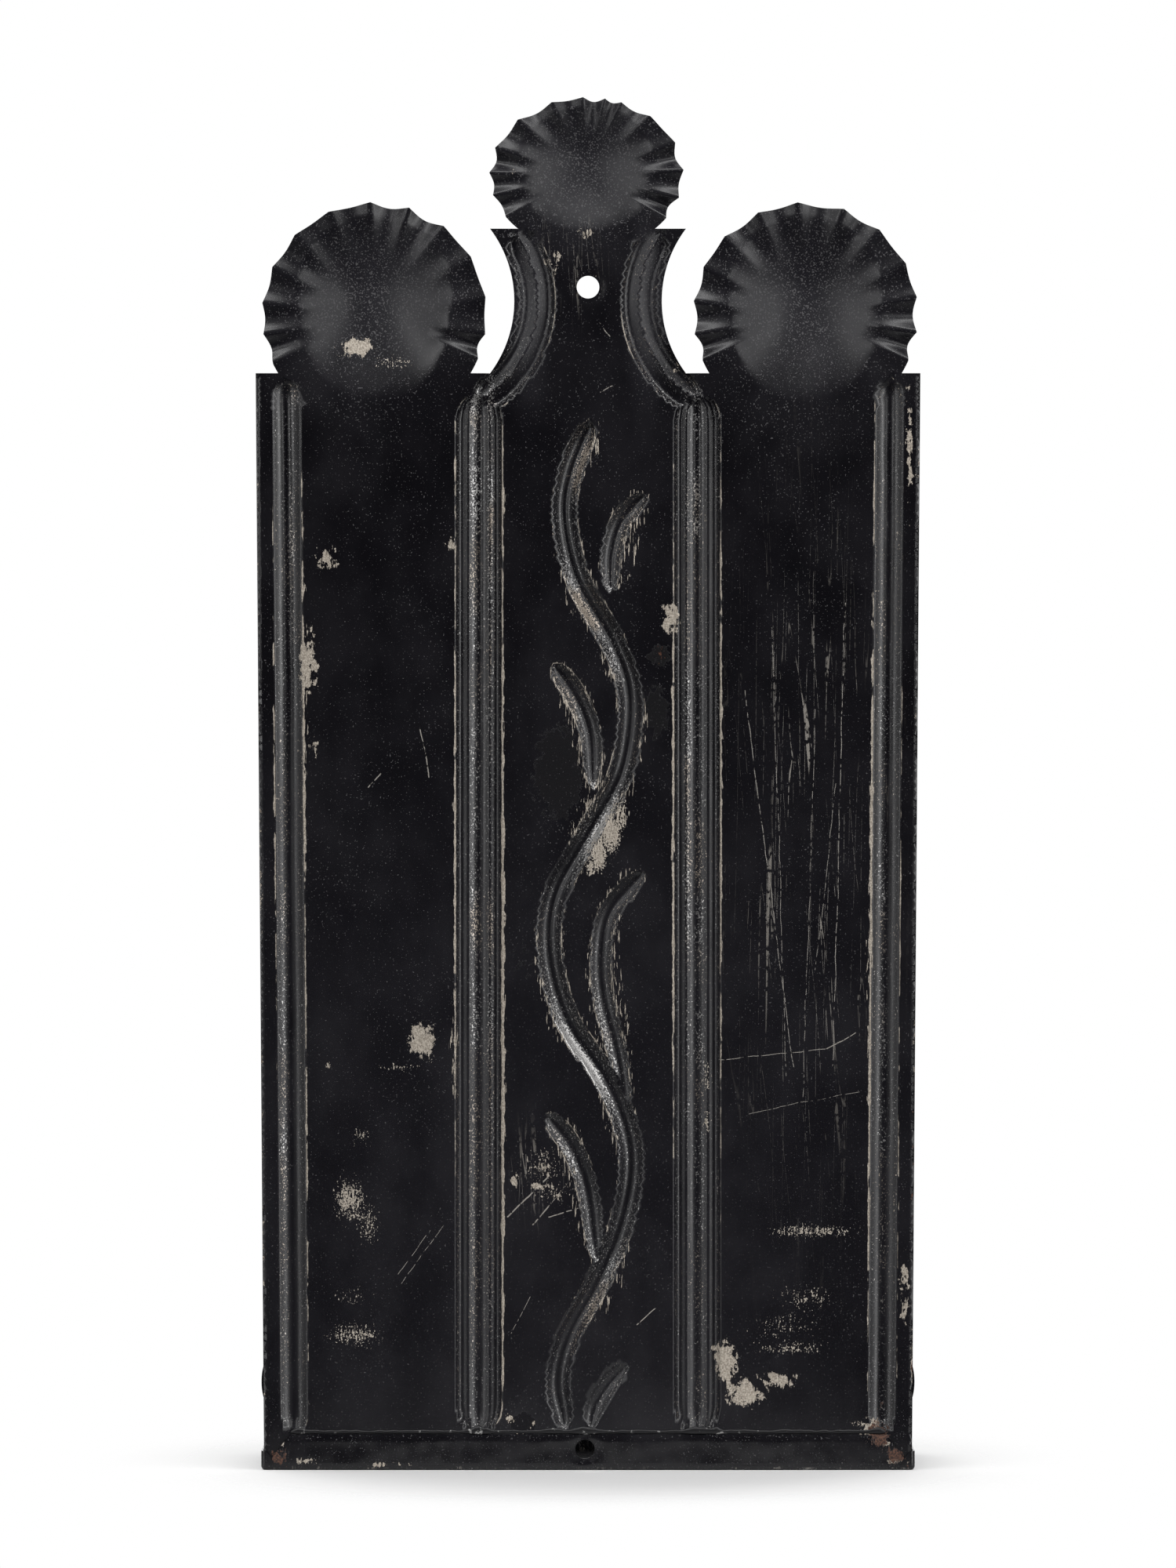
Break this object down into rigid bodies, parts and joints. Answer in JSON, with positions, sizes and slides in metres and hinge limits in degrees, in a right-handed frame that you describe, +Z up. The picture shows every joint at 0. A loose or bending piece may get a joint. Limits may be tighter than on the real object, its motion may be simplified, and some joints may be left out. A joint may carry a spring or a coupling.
{
  "type": "wall sconce",
  "caption": "Black japanned tinplate wall sconce with crimped round crests, swaged ribs and a winding stem pressed into its tall back plate, over a shallow candle tray with sockets.",
  "frame": {"origin": "under the middle of the sconce: centred across its width and its depth, at the underside of the tray", "axes": "+Z up, +Y towards the wall, -Y towards the candle side, +X to the right as seen from the candle side"},
  "size_m": [0.1728, 0.0826, 0.3572],
  "materials": {
    "japanned_plate": "worn glossy black japanning on tinplate, chipped and rubbed to bare metal on the shoulders of the relief",
    "japanned_tray": "worn glossy black japanning with rust at the corners",
    "japanned_socket": "black japanning rubbed at the lip",
    "solder": "dull grey solder under flaking black paint",
    "iron_wire": "dull iron wire"
  },
  "bodies": {
    "root": {"back_plate": "japanned_plate", "tray_pan": "japanned_tray", "tray_wall": "japanned_tray", "tray_rim_wire": "iron_wire", "candle_socket_left": "japanned_socket", "candle_socket_right": "japanned_socket", "socket_solder_left": "solder", "socket_solder_right": "solder", "corner_solder_left": "solder", "corner_solder_right": "solder", "rear_solder_seam": "solder"}
  },
  "joints": []
}
